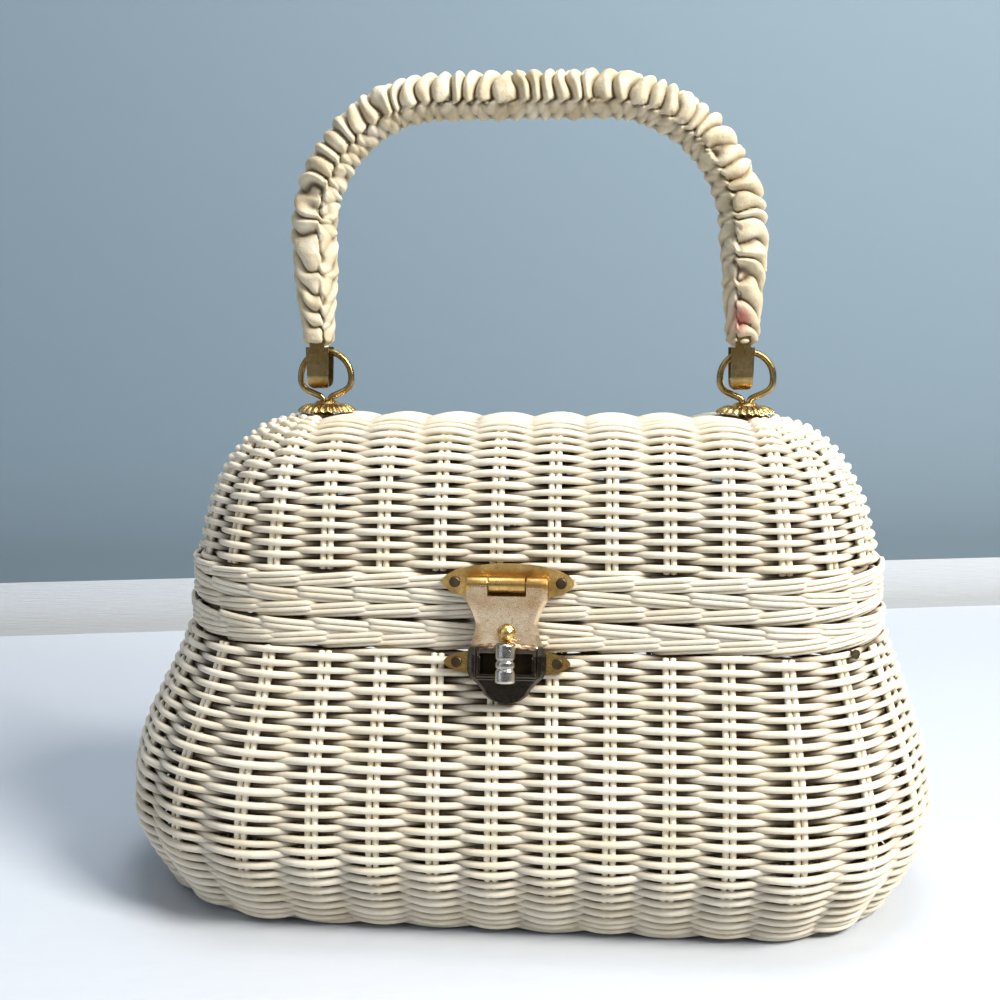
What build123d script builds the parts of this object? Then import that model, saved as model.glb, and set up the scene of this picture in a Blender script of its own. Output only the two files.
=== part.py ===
from build123d import *
import math
import os

# A hinged wicker box bag: a flared woven basket with a domed woven lid, a brass turn-lock
# clasp at the front, two brass hinges at the back and a padded swing handle on wire rings.
# Every horizontal ring of the weave is a stadium: two straight runs joined by half circles.
# Millimetres. Z is up, the front faces -Y, and the origin is the middle of the base.

# Basket and lid shells
half_run = 73.0  # half of the straight run of every woven ring, and of the lid's ridge
wall = 6.0  # stakes and weavers together
floor_radius = 53.5
belly_radius = 67.0
belly_height = 31.0
mouth_radius = 47.4
seam_height = 101.5
foot_slope = 0.45  # how fast the wall leans out just above the floor
neck_slope = 0.24  # how fast the wall leans out just below the mouth
base_thickness = 5.0
lid_rise = 63.5
lid_radius = 47.4
lid_fullness = 1.72  # exponents of the lid's rounded section
lid_squareness = 3.1
ridge_flat = 3.0  # half width of the flat along the ridge
seam_gap = 0.4

# Plaited borders on both edges of the mouth
basket_border_height = 8.4
basket_border_radius = 49.0
lid_border_height = 15.0
lid_border_radius = 48.0
border_width = 7.5
border_round = 1.8

# Clasp
clasp_x = -5.0
sheet = 1.1  # brass of the hasp
plate = 1.0  # brass of the hasp's hinge plate
plate_length = 41.5
plate_height = 12.0
knuckle_radius = 2.5
pin_radius = 1.0
pin_fit = 0.05
clearance = 0.3
end_gap = 0.3
center_knuckle = 11.2
hasp_width = 25.4
pin_above_seam = 13.4
catch_below_seam = 10.8
catch_length = 39.6
catch_height = 9.0
catch_thickness = 1.8
catch_grip_slack = 3.2  # how far the catch's rivets reach past the wall's thickness
catch_lean = 14.0  # degrees, leaning back with the flare of the basket
bend_above_catch = 2.2
bend_overlap = 0.6
tongue_below_catch = 12.6
waist_width = 19.2
waist_above_catch = 12.4
hasp_straight = 4.6  # knuckle down to where the hasp's sides begin to curve
shield_width = 24.8
tongue_width = 15.0
shield_straight = 2.0  # catch down to where the shield begins to narrow
tongue_shoulder = 7.2
boss_width = 18.6
boss_height = 9.4
boss_rise = 1.6
boss_corner = 1.2
window_width = 16.2
window_height = 6.8
fork_lead = 1.6  # end of the turned barrel up to the top of the fork
knuckle_room = 3.0  # cut into the hasp in front of the plate's knuckle
barrel_radius = 3.3
barrel_length = 12.3
post_radius = 2.2
collar_radius = 3.0
back_flange = 1.0
barrel_chamfer = 0.5
fork_play = 0.4
stud_radius = 2.9
stud_above_catch = 9.4
stud_rise = 2.7

# Back hinges
hinge_x = 45.0
hinge_width = 14.0
leaf_thickness = 1.0
leaf_height_low = 6.6
leaf_height_high = 12.0
hinge_knuckle_radius = 2.0
hinge_pin_radius = 0.8
hinge_center_knuckle = 5.0

# Rivets and the nail in the side
rivet_radius = 0.8
rivet_head_radius = 1.7
rivet_head = 0.8
rivet_head_round = 0.45
clinch_radius = 1.5
clinch = 0.6
rivet_inset = 4.0
hinge_rivet_spread = 7.0
nail_angle = 52.0  # from the +X end towards the front
nail_below_seam = 9.6
nail_head_radius = 1.5
nail_proud = 0.5

# Handle fittings
rosette_radius = 10.0
rosette_height = 3.4
rosette_sheet = 0.8
rosette_scallops = 24
ring_wire = 1.1
ring_half_width = 9.0
ring_pivot_above_lid = 21.0
ring_neck_above_lid = 4.9
ring_shoulder = 12.6  # swing axis down to where the ring turns in
ring_shoulder_bend = 4.5
ring_neck_bend = 1.8
ring_tail_bend = 1.5
ring_leg_x = 1.2
washer_radius = 5.0
washer_thickness = 1.0
washer_seat = 0.1
ring_tail_drop = 1.7
ring_tail = 6.0
strap_gap = 7.6
strap_sheet = 0.8
strap_top_width = 7.9
strap_width = 7.1
strap_drop = 13.0
strap_tongue_width = 5.0
strap_tongue = 8.0

# Handle
handle_x = -2.0  # the slack handle sits a little to one side in its rings
handle_half_width = 73.0
handle_corner = 46.0
handle_rise = 85.0  # from the swing axis to the middle of the grip
core_radius = 2.9
leg_radius = 6.4
grip_radius = 8.0
leg_taper = 34.0
sleeve_gap = 1.5  # swing axis to the sleeve's end

lid_top = seam_height + lid_rise
lid_inside = lid_top - wall
catch_z = seam_height - catch_below_seam
pin_z = seam_height + pin_above_seam
pin_y = -(lid_border_radius + plate + clearance + knuckle_radius)
hasp_front = pin_y - knuckle_radius
hinge_y = basket_border_radius + clearance + hinge_knuckle_radius
swing_z = lid_top + ring_pivot_above_lid
sleeve_end = swing_z + sleeve_gap
end_axis = Axis((half_run, 0, 0), (0, 0, -1))
# Local x runs out of the front, local y up, and the plane faces -X from the right end.
front_section = Plane(origin=(half_run, 0, 0), x_dir=(0, -1, 0), z_dir=(-1, 0, 0))
# Local x runs out of the right end, and the plane faces the front.
end_section = Plane(origin=(half_run, 0, 0), x_dir=(1, 0, 0), z_dir=(0, -1, 0))

os.makedirs("parts", exist_ok=True)


def blend(t, end_slope):
    """Rise from 0 to 1 that starts level and ends with the given slope."""
    return t * t * (3 - 2 * t) + end_slope * t * t * (t - 1)


def basket_radius(z):
    """Outer radius of the basket's wall at a height."""
    if z < belly_height:
        drop = belly_radius - floor_radius
        return belly_radius - drop * blend(1 - z / belly_height, foot_slope * belly_height / drop)
    drop = belly_radius - mouth_radius
    span = seam_height - belly_height
    return belly_radius - drop * blend((z - belly_height) / span, neck_slope * span / drop)


def lid_section_radius(z, inset):
    """Radius of the lid's shell at a height, or of its inside with the wall as inset."""
    s = (z - seam_height) / (lid_rise - inset)
    return (lid_radius - inset) * (1 - s**lid_fullness) ** (1 / lid_squareness)


def save(builder, label):
    """Name a finished piece and write it to its own file."""
    builder.part.label = label
    export_step(builder.part, f"parts/{label}.step")


def stadium_ring(section):
    """Run a section, drawn as radius and height, round the stadium: a quarter, then its images."""
    extrude(front_section * section, amount=half_run)
    revolve(end_section * section, axis=end_axis, revolution_arc=90)
    mirror(about=Plane.XZ)
    mirror(about=Plane.YZ)


def cut_shank(plane, depth):
    """Cut a rivet's hole backwards from a plane."""
    with BuildSketch(plane) as shank:
        Circle(rivet_radius)
    extrude(shank.sketch, amount=-depth, mode=Mode.SUBTRACT)


def make_rivet(label, plane, grip):
    """Headed rivet: its head on the plane, its shank behind it and a clinched end inside."""
    with BuildPart() as rivet:
        with BuildSketch(plane):
            Circle(rivet_radius)
        extrude(amount=-grip)
        with BuildSketch(plane):
            Circle(rivet_head_radius)
        extrude(amount=rivet_head)
        rim = rivet.edges().filter_by(GeomType.CIRCLE).sort_by(Axis(plane.origin, plane.z_dir))[-1]
        fillet(rim, radius=rivet_head_round)
        with BuildSketch(plane.offset(-grip)):
            Circle(clinch_radius)
        extrude(amount=-clinch)
    save(rivet, label)


# Basket ------------------------------------------------------------------------------------

wall_top = seam_height - basket_border_height
outer_levels = [wall_top * n / 8 for n in range(9)]
base_radius = basket_radius(base_thickness) - wall
inner_levels = [level for level in outer_levels if level > base_thickness]

# The catch, the knob and the lower half of the hasp share one leaning plane.
lean = math.radians(catch_lean)
bend_z = catch_z + bend_above_catch
catch_normal = Vector(0, -math.cos(lean), math.sin(lean))
# Outer face of the hasp's lower half, where the catch's axis meets it.
shield_y = hasp_front - bend_above_catch * math.tan(lean)
shield_plane = Plane(origin=(clasp_x, shield_y, catch_z), x_dir=(1, 0, 0), z_dir=catch_normal)
catch_face = shield_plane.offset(-sheet - clearance)
catch_rivet_x = catch_length / 2 - rivet_inset
catch_rivet_planes = [
    Plane(origin=catch_face.from_local_coords((x, 0, 0)), x_dir=(1, 0, 0), z_dir=catch_normal)
    for x in (-catch_rivet_x, catch_rivet_x)
]
catch_grip = catch_thickness + wall + catch_grip_slack

plate_rivet_x = plate_length / 2 - rivet_inset
plate_rivet_planes = [
    Plane(
        origin=(clasp_x + x, -(lid_border_radius + plate), pin_z),
        x_dir=(1, 0, 0),
        z_dir=(0, -1, 0),
    )
    for x in (-plate_rivet_x, plate_rivet_x)
]

sides = {"left": -1, "right": 1}
lower_rivets = {}
upper_rivets = {}
for side, sign in sides.items():
    for end, offset in {"outer": sign, "inner": -sign}.items():
        x = sign * hinge_x + offset * hinge_rivet_spread / 2
        lower_rivets[f"{side}_{end}"] = Plane(
            origin=(x, basket_border_radius + leaf_thickness, seam_height - leaf_height_low / 2 - 1),
            x_dir=(-1, 0, 0),
            z_dir=(0, 1, 0),
        )
        upper_rivets[f"{side}_{end}"] = Plane(
            origin=(x, lid_border_radius + leaf_thickness, seam_height + leaf_height_high / 2 + 2),
            x_dir=(-1, 0, 0),
            z_dir=(0, 1, 0),
        )

nail_reach = basket_radius(seam_height - nail_below_seam) + nail_proud
nail_out = Vector(math.cos(math.radians(nail_angle)), -math.sin(math.radians(nail_angle)), 0)
nail_plane = Plane(
    origin=Vector(half_run, 0, seam_height - nail_below_seam) + nail_out * nail_reach,
    z_dir=nail_out,
)

with BuildSketch() as wall_section:
    with BuildLine():
        outer = Spline([(basket_radius(z), z) for z in outer_levels])
        inner = Spline(
            [(base_radius, base_thickness)] + [(basket_radius(z) - wall, z) for z in inner_levels]
        )
        Polyline((floor_radius, 0), (base_radius, 0), (base_radius, base_thickness))
        Line(outer @ 1, inner @ 1)
    make_face()
with BuildPart() as basket_wall:
    stadium_ring(wall_section.sketch)
    for rivet_plane in catch_rivet_planes:
        cut_shank(rivet_plane, catch_grip)
    # The catch beds on a flat seat, with a hollow behind it for the knob's flange.
    with BuildSketch(catch_face.offset(-catch_thickness)):
        Ellipse(catch_length / 2, catch_height / 2)
    extrude(amount=wall, mode=Mode.SUBTRACT)
    with BuildSketch(catch_face.offset(-catch_thickness)):
        Circle(collar_radius + 1)
    extrude(amount=-(wall - 1), mode=Mode.SUBTRACT)
    cut_shank(nail_plane, wall - 1)
save(basket_wall, "basket_wall")

with BuildPart() as basket_base:
    with BuildSketch():
        SlotCenterToCenter(2 * half_run, 2 * base_radius)
    extrude(amount=base_thickness)
save(basket_base, "basket_base")

with BuildSketch() as border_section:
    with Locations((basket_border_radius - border_width / 2, wall_top + basket_border_height / 2)):
        RectangleRounded(border_width, basket_border_height, border_round)
with BuildPart() as basket_border:
    stadium_ring(border_section.sketch)
    for rivet_plane in lower_rivets.values():
        cut_shank(rivet_plane, border_width + 2 * leaf_thickness)
save(basket_border, "basket_border")

with BuildPart() as border_nail:
    with BuildSketch(nail_plane):
        Circle(rivet_radius)
    extrude(amount=-(wall - 1))
    with BuildSketch(nail_plane):
        Circle(nail_head_radius)
    extrude(amount=rivet_head)
save(border_nail, "border_nail")

with BuildPart() as catch_plate:
    with BuildSketch(catch_face):
        Ellipse(catch_length / 2, catch_height / 2)
        with Locations((0, 0)):
            Circle(post_radius + pin_fit, mode=Mode.SUBTRACT)
        with Locations((-catch_rivet_x, 0), (catch_rivet_x, 0)):
            Circle(rivet_radius, mode=Mode.SUBTRACT)
    extrude(amount=-catch_thickness)
save(catch_plate, "catch_plate")
for side, rivet_plane in zip(sides, catch_rivet_planes):
    make_rivet(f"catch_rivet_{side}", rivet_plane, catch_grip)

# Turn knob: a flange behind the catch, a post through it, a collar and a cross barrel.
knob_reach = boss_rise + sheet + 2 * clearance
with BuildPart() as turn_knob:
    with BuildSketch(catch_face.offset(pin_fit)):
        Circle(post_radius)
    extrude(amount=-(catch_thickness + 2 * pin_fit))
    with BuildSketch(catch_face.offset(-catch_thickness - pin_fit)):
        Circle(collar_radius)
    extrude(amount=-back_flange)
    with BuildSketch(catch_face.offset(pin_fit)):
        Circle(collar_radius)
    extrude(amount=knob_reach - pin_fit + barrel_radius)
    barrel_center = catch_face.from_local_coords((0, 0, knob_reach + barrel_radius))
    with BuildSketch(Plane(barrel_center, x_dir=(1, 0, 0), z_dir=catch_face.y_dir)):
        Circle(barrel_radius)
    extrude(amount=barrel_length / 2, both=True)
    ends = turn_knob.edges().filter_by(GeomType.CIRCLE).sort_by(Axis(barrel_center, catch_face.y_dir))
    chamfer([ends[0], ends[-1]], barrel_chamfer)
save(turn_knob, "turn_knob")

# Lid ---------------------------------------------------------------------------------------

crown_base = seam_height + lid_border_height
crown_levels = [math.sin(math.pi / 2 * n / 9) for n in range(10)]


def crown_points(inset):
    """Points of the lid's rounded section from its foot to the top, all on one formula."""
    rise = seam_height + lid_rise - inset - crown_base
    heights = [crown_base + rise * level for level in crown_levels]
    return [(lid_section_radius(z, inset), z) for z in heights[:-1]] + [(ridge_flat, heights[-1])]


with BuildSketch() as crown_section:
    with BuildLine():
        outside = Spline(crown_points(0), tangents=[(-0.2, 1), (-1, 0)])
        inside = Spline(crown_points(wall), tangents=[(-0.2, 1), (-1, 0)])
        Line(outside @ 0, inside @ 0)
        Polyline(outside @ 1, (0, lid_top), (0, lid_inside), inside @ 1)
    make_face()
with BuildPart() as lid_crown:
    stadium_ring(crown_section.sketch)
    with BuildSketch(Plane.XY.offset(lid_top)):
        with Locations((-half_run, 0), (half_run, 0)):
            Circle(ring_leg_x + ring_wire)
    extrude(amount=-2 * wall, mode=Mode.SUBTRACT)
save(lid_crown, "lid_crown")

band_height = lid_border_height - seam_gap
with BuildSketch() as band_section:
    with Locations((lid_border_radius - border_width / 2, crown_base - band_height / 2)):
        RectangleRounded(border_width, band_height, border_round)
with BuildPart() as lid_border:
    stadium_ring(band_section.sketch)
    for rivet_plane in [*plate_rivet_planes, *upper_rivets.values()]:
        cut_shank(rivet_plane, border_width + 2 * plate)
save(lid_border, "lid_border")

# Clasp on the lid --------------------------------------------------------------------------

plate_plane = Plane(origin=(clasp_x, -lid_border_radius, pin_z), x_dir=(1, 0, 0), z_dir=(0, -1, 0))
pin_plane = Plane(origin=(clasp_x, pin_y, pin_z), x_dir=(0, -1, 0), z_dir=(1, 0, 0))
with BuildPart() as hasp_plate:
    with BuildSketch(plate_plane):
        Ellipse(plate_length / 2, plate_height / 2)
        with Locations((-plate_rivet_x, 0), (plate_rivet_x, 0)):
            Circle(rivet_radius, mode=Mode.SUBTRACT)
    extrude(amount=plate)
    with BuildSketch(pin_plane):
        Circle(knuckle_radius)
        with Locations((-(knuckle_radius + clearance) / 2, knuckle_radius - plate / 2)):
            Rectangle(knuckle_radius + clearance, plate)
        Circle(pin_radius, mode=Mode.SUBTRACT)
    extrude(amount=center_knuckle / 2, both=True)
save(hasp_plate, "hasp_plate")
for side, rivet_plane in zip(sides, plate_rivet_planes):
    make_rivet(f"hasp_plate_rivet_{side}", rivet_plane, border_width + plate)

with BuildPart() as hasp_pin:
    with BuildSketch(pin_plane):
        Circle(pin_radius)
    extrude(amount=hasp_width / 2, both=True)
save(hasp_pin, "hasp_pin")

# Hasp: a hinged plate that bends to follow the flare. It is open below the knob, as a fork.
fork_width = 2 * (barrel_radius + fork_play)
waist_z = catch_z + waist_above_catch
with BuildPart() as hasp:
    with BuildSketch(Plane(origin=(clasp_x, hasp_front, 0), x_dir=(1, 0, 0), z_dir=(0, -1, 0))):
        with BuildLine():
            top_left = Line((-hasp_width / 2, pin_z), (-hasp_width / 2, pin_z - hasp_straight))
            Spline(
                top_left @ 1,
                (-waist_width / 2, waist_z),
                (-shield_width / 2, bend_z - bend_overlap),
                tangents=[(0.1, -1), (-0.35, -1)],
            )
            Line((-shield_width / 2, bend_z - bend_overlap), (0, bend_z - bend_overlap))
            Line((0, bend_z - bend_overlap), (0, pin_z))
            Line((0, pin_z), top_left @ 0)
        make_face()
        mirror(about=Plane.YZ)
    extrude(amount=-sheet)
    # The lower half starts at the bend and follows the leaning plane.
    with BuildSketch(shield_plane):
        with BuildLine():
            bend_up = bend_above_catch / math.cos(lean)
            edge = Line((0, bend_up), (-shield_width / 2, bend_up))
            Spline(
                edge @ 1,
                (-shield_width / 2, -shield_straight),
                (-tongue_width / 2, -tongue_shoulder),
                (0, -tongue_below_catch),
                tangents=[(0, -1), (1, 0)],
            )
            Line((0, -tongue_below_catch), (0, bend_up))
        make_face()
        mirror(about=Plane.YZ)
    extrude(amount=-sheet)
    with BuildSketch(shield_plane):
        RectangleRounded(boss_width, boss_height, boss_corner)
    extrude(amount=boss_rise)
    with BuildSketch(shield_plane.offset(0.1)):
        RectangleRounded(boss_width, boss_height, boss_corner)
    extrude(amount=-sheet)
    # Knuckles at both sides of the plate's own.
    knuckle_length = (hasp_width - center_knuckle) / 2 - end_gap
    for direction in (-1, 1):
        start = pin_plane.offset(direction * (center_knuckle / 2 + end_gap))
        with BuildSketch(start):
            Circle(knuckle_radius)
        extrude(amount=direction * knuckle_length)
    with BuildSketch(pin_plane.offset(-hasp_width / 2)):
        Circle(pin_radius + pin_fit)
    extrude(amount=hasp_width, mode=Mode.SUBTRACT)
    # Room for the plate's knuckle, the turn barrel's window and the fork below it.
    with BuildSketch(Plane(origin=(clasp_x, pin_y, pin_z), x_dir=(1, 0, 0), z_dir=(0, -1, 0))):
        with Locations((0, (knuckle_room - knuckle_radius - end_gap) / 2)):
            Rectangle(center_knuckle + 2 * end_gap, knuckle_radius + end_gap + knuckle_room)
    extrude(amount=knuckle_radius + 1, mode=Mode.SUBTRACT)
    with BuildSketch(shield_plane.offset(boss_rise + 1)):
        Rectangle(window_width, window_height)
    extrude(amount=-(boss_rise + sheet + 2), mode=Mode.SUBTRACT)
    with BuildSketch(shield_plane.offset(boss_rise + 2)):
        fork_top = barrel_length / 2 + fork_lead
        with Locations((0, (fork_top - tongue_below_catch - 2) / 2)):
            Rectangle(fork_width, fork_top + tongue_below_catch + 2)
    extrude(amount=-(boss_rise + sheet + 5), mode=Mode.SUBTRACT)
save(hasp, "hasp")

with BuildPart() as hasp_stud:
    stud_z = catch_z + stud_above_catch
    stud_center = hasp_front - stud_rise + stud_radius
    with BuildSketch(Plane(origin=(clasp_x, stud_center, stud_z), x_dir=(0, 0, 1), z_dir=(1, 0, 0))):
        with BuildLine():
            dome = CenterArc((0, 0), stud_radius, 0, 90)
            Line(dome @ 1, (0, 0))
            Line((0, 0), dome @ 0)
        make_face()
    revolve(axis=Axis((clasp_x, 0, stud_z), (0, 1, 0)))
    split(bisect_by=Plane(origin=(clasp_x, hasp_front, 0), z_dir=(0, -1, 0)))
save(hasp_stud, "hasp_stud")

# Handle fittings ---------------------------------------------------------------------------

rosette_hole = ring_leg_x + ring_wire
washer_top = lid_inside - washer_seat
for side, sign in sides.items():
    pole = Plane(origin=(sign * half_run, 0, 0), x_dir=(1, 0, 0), z_dir=(0, -1, 0))
    with BuildPart() as rosette:
        with BuildSketch(pole):
            with BuildLine():
                rim = Polyline(
                    (rosette_hole, lid_top),
                    (rosette_radius, lid_top),
                    (rosette_radius, lid_top + rosette_sheet),
                )
                cone = Spline(
                    rim @ 1,
                    (rosette_radius * 0.62, lid_top + rosette_height * 0.72),
                    (rosette_hole, lid_top + rosette_height),
                )
                Line(cone @ 1, rim @ 0)
            make_face()
        revolve(axis=Axis((sign * half_run, 0, 0), (0, 0, 1)))
        with BuildSketch(Plane.XY.offset(lid_top)):
            with Locations((sign * half_run, 0)):
                with PolarLocations(rosette_radius + 0.5, rosette_scallops):
                    Circle(0.9)
        extrude(amount=rosette_height, mode=Mode.SUBTRACT)
    save(rosette, f"rosette_{side}")

    # Pear-shaped wire ring whose two legs go down through the lid and turn out below a washer.
    neck = lid_top + ring_neck_above_lid
    tail_z = washer_top - washer_thickness - ring_tail_drop
    half_ring = [
        (ring_half_width, swing_z),
        (ring_half_width, swing_z - ring_shoulder),
        (ring_leg_x, neck),
        (ring_leg_x, tail_z),
        (ring_leg_x + ring_tail, tail_z),
    ]
    bends = [ring_half_width - 0.05, ring_shoulder_bend, ring_neck_bend, ring_tail_bend]
    with BuildPart() as handle_ring:
        with BuildLine(pole) as ring_line:
            FilletPolyline(
                *[(-x, z) for x, z in reversed(half_ring)],
                *half_ring,
                radius=[*reversed(bends), *bends],
            )
        with BuildSketch(Plane(ring_line.line @ 0, z_dir=ring_line.line % 0)):
            Circle(ring_wire)
        sweep(path=ring_line.line)
    save(handle_ring, f"handle_ring_{side}")

    with BuildPart() as ring_washer:
        with BuildSketch(Plane.XY.offset(washer_top - washer_thickness)):
            with Locations((sign * half_run, 0)):
                Circle(washer_radius)
                Circle(rosette_hole, mode=Mode.SUBTRACT)
        extrude(amount=washer_thickness)
    save(ring_washer, f"ring_washer_{side}")

# Back hinges -------------------------------------------------------------------------------

hinge_knuckle_plane = Plane(origin=(0, hinge_y, seam_height), x_dir=(0, 1, 0), z_dir=(1, 0, 0))
outer_knuckle = (hinge_width - hinge_center_knuckle) / 2 - end_gap


def leaf(sign, radius, low, high):
    """Flat leaf of a hinge on the back of a border, from one height to another."""
    with BuildSketch(
        Plane(origin=(sign * hinge_x, radius, (low + high) / 2), x_dir=(-1, 0, 0), z_dir=(0, 1, 0))
    ) as outline:
        RectangleRounded(hinge_width, high - low, 1)
    extrude(outline.sketch, amount=leaf_thickness)


for side, sign in sides.items():
    middle = hinge_knuckle_plane.offset(sign * hinge_x)
    with BuildPart() as hinge_lower:
        leaf(sign, basket_border_radius, seam_height - 1 - leaf_height_low, seam_height)
        for direction in (-1, 1):
            with BuildSketch(middle.offset(direction * (hinge_center_knuckle / 2 + end_gap))):
                Circle(hinge_knuckle_radius)
            extrude(amount=direction * outer_knuckle)
        with BuildSketch(middle.offset(-hinge_width / 2)):
            Circle(hinge_pin_radius)
        extrude(amount=hinge_width, mode=Mode.SUBTRACT)
        with BuildSketch(middle):
            Circle(hinge_knuckle_radius + clearance)
        extrude(amount=hinge_center_knuckle / 2 + end_gap, both=True, mode=Mode.SUBTRACT)
        for name, rivet_plane in lower_rivets.items():
            if name.startswith(side):
                cut_shank(rivet_plane, 2 * leaf_thickness)
    save(hinge_lower, f"hinge_lower_{side}")

    with BuildPart() as hinge_upper:
        leaf_low = seam_height + seam_gap + 0.2
        leaf(sign, lid_border_radius, leaf_low, leaf_low + leaf_height_high)
        with BuildSketch(middle):
            Circle(hinge_knuckle_radius)
            web_run = hinge_y - lid_border_radius
            with Locations((-web_run / 2, seam_gap + 0.2 + leaf_thickness / 2)):
                Rectangle(web_run, leaf_thickness)
            Circle(hinge_pin_radius + pin_fit, mode=Mode.SUBTRACT)
        extrude(amount=hinge_center_knuckle / 2, both=True)
        for name, rivet_plane in upper_rivets.items():
            if name.startswith(side):
                cut_shank(rivet_plane, 2 * leaf_thickness)
    save(hinge_upper, f"hinge_upper_{side}")

    with BuildPart() as hinge_pin:
        with BuildSketch(middle):
            Circle(hinge_pin_radius)
        extrude(amount=hinge_width / 2, both=True)
    save(hinge_pin, f"hinge_pin_{side}")

for name, rivet_plane in lower_rivets.items():
    make_rivet(f"hinge_rivet_lower_{name}", rivet_plane, border_width + leaf_thickness)
for name, rivet_plane in upper_rivets.items():
    make_rivet(f"hinge_rivet_upper_{name}", rivet_plane, border_width + leaf_thickness)

# Handle ------------------------------------------------------------------------------------

handle_top = swing_z + handle_rise
handle_plane = Plane(origin=(handle_x, 0, 0), x_dir=(1, 0, 0), z_dir=(0, -1, 0))
taper_top = sleeve_end + leg_taper


def arch(foot):
    """Corners of the handle's middle line, from a height on both legs."""
    return [
        (-handle_half_width, foot),
        (-handle_half_width, handle_top),
        (handle_half_width, handle_top),
        (handle_half_width, foot),
    ]


with BuildPart() as handle_core:
    with BuildLine(handle_plane) as core_line:
        FilletPolyline(*arch(sleeve_end), radius=handle_corner)
    with BuildSketch(Plane(core_line.line @ 0, z_dir=(0, 0, 1))):
        Circle(core_radius)
    sweep(path=core_line.line)
save(handle_core, "handle_core")

socket_radius = math.hypot(strap_tongue_width / 2, strap_gap / 2 + strap_sheet) + 0.1
with BuildPart() as handle_sleeve:
    with BuildLine(handle_plane) as grip_line:
        FilletPolyline(*arch(taper_top), radius=handle_corner)
    with BuildSketch(Plane(grip_line.line @ 0, z_dir=(0, 0, 1))):
        Circle(grip_radius)
        Circle(core_radius, mode=Mode.SUBTRACT)
    sweep(path=grip_line.line)
    for sign in sides.values():
        leg_x = sign * handle_half_width
        with BuildSketch(handle_plane):
            with BuildLine():
                Polyline(
                    (leg_x + core_radius, sleeve_end),
                    (leg_x + leg_radius, sleeve_end),
                    (leg_x + grip_radius, taper_top),
                    (leg_x + core_radius, taper_top),
                    close=True,
                )
            make_face()
        revolve(axis=Axis((handle_x + leg_x, 0, 0), (0, 0, 1)))
        with BuildSketch(Plane.XY.offset(sleeve_end)):
            with Locations((handle_x + leg_x, 0)):
                Circle(socket_radius)
        extrude(amount=strap_tongue + 0.2, mode=Mode.SUBTRACT)
save(handle_sleeve, "handle_sleeve")

strap_half = strap_gap / 2 + strap_sheet
strap_foot = swing_z - strap_drop
for side, sign in sides.items():
    strap_x = handle_x + sign * handle_half_width
    with BuildPart() as handle_strap:
        with BuildSketch(Plane(origin=(strap_x, 0, 0), x_dir=(0, 1, 0), z_dir=(1, 0, 0))):
            tongue_top = sleeve_end + strap_tongue
            for half, mode in ((strap_half, Mode.ADD), (strap_gap / 2, Mode.SUBTRACT)):
                bend_center = strap_foot + strap_half
                with Locations((0, bend_center)):
                    Circle(half, mode=mode)
                with Locations((0, (bend_center + tongue_top) / 2)):
                    Rectangle(2 * half, tongue_top - bend_center, mode=mode)
        extrude(amount=strap_top_width, both=True)
        with BuildSketch(Plane(origin=(strap_x, 0, 0), x_dir=(1, 0, 0), z_dir=(0, -1, 0))):
            with BuildLine():
                Polyline(
                    (-strap_top_width / 2, sleeve_end),
                    (-strap_width / 2, strap_foot),
                    (strap_width / 2, strap_foot),
                    (strap_top_width / 2, sleeve_end),
                    close=True,
                )
            make_face()
            fillet(vertices().group_by(Axis.Y)[0], radius=strap_width * 0.3)
            with Locations((0, sleeve_end + strap_tongue / 2 - 0.5)):
                Rectangle(strap_tongue_width, strap_tongue + 1)
        extrude(amount=strap_half + 1, both=True, mode=Mode.INTERSECT)
    save(handle_strap, f"handle_strap_{side}")
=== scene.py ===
"""Looks of a cream wicker box bag: woven reed shells, plaited borders, brass clasp and ruched handle."""
import bpy
import logging
import math
from collections.abc import Callable, Sequence
from dataclasses import dataclass, field

import numpy as np
from mathutils import Matrix, Vector

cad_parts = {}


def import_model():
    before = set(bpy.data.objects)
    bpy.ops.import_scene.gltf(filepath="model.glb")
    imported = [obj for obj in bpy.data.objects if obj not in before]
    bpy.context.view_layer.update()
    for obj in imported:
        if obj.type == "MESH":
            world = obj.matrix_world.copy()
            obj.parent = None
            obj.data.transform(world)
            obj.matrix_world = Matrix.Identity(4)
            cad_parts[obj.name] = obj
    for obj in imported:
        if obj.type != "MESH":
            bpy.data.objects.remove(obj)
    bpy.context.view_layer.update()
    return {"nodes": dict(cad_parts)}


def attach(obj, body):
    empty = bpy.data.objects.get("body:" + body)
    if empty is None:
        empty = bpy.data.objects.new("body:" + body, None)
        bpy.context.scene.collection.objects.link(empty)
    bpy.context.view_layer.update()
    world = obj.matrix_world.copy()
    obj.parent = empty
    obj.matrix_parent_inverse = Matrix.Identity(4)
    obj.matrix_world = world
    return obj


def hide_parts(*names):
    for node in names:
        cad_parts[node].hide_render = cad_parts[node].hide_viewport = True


MM = 0.001  # every size below is in millimetres, and meshes are written in metres
log = logging.getLogger("bag")


# Mesh tools --------------------------------------------------------------------------------


def linear(hex_colour: str) -> tuple[float, float, float, float]:
    """Turn an sRGB hex colour into linear RGBA.

    Args:
        hex_colour: Six hex digits with a leading #.

    Returns:
        The colour as linear red, green, blue and an alpha of 1.
    """
    parts = [int(hex_colour[i:i + 2], 16) / 255 for i in (1, 3, 5)]
    return (*[p / 12.92 if p <= 0.04045 else ((p + 0.055) / 1.055) ** 2.4 for p in parts], 1.0)


def smoothstep(low: float, high: float, value: np.ndarray) -> np.ndarray:
    """Rise smoothly from 0 at low to 1 at high.

    Args:
        low: Value where the result leaves 0.
        high: Value where the result reaches 1.
        value: Numbers to place on the step.

    Returns:
        Numbers from 0 to 1.
    """
    x = np.clip((value - low) / (high - low), 0.0, 1.0)
    return x * x * (3 - 2 * x)


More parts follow.
